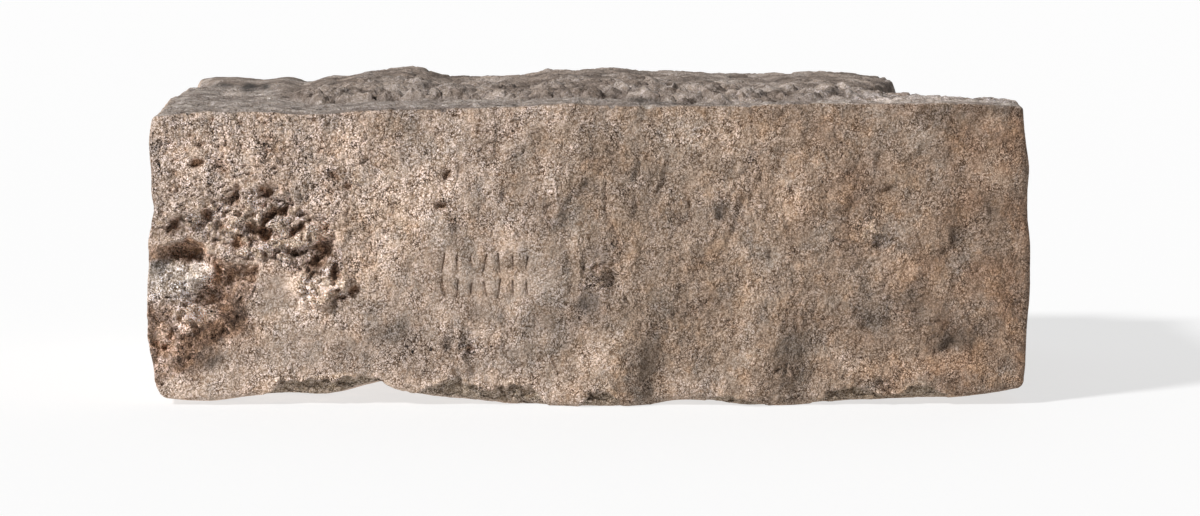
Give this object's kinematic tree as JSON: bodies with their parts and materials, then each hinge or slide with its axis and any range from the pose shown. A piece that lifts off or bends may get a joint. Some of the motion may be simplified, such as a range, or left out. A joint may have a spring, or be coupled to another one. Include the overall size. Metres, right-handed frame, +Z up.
{
  "type": "lead tablet",
  "caption": "Thick rectangular cast block lying flat, with an eroded corner, a rough top with a broken back corner, and rows of shallow strokes on its long front.",
  "frame": {"origin": "middle of the bounding box at the height of the underside", "axes": "+X to the right along the front's width, +Y from the front towards the back, +Z up"},
  "size_m": [0.3694, 0.2554, 0.1321],
  "materials": {
    "corroded_lead": "matt earth-coloured corrosion crust over grey lead"
  },
  "bodies": {
    "root": {"lead_tablet": "corroded_lead"}
  },
  "joints": []
}
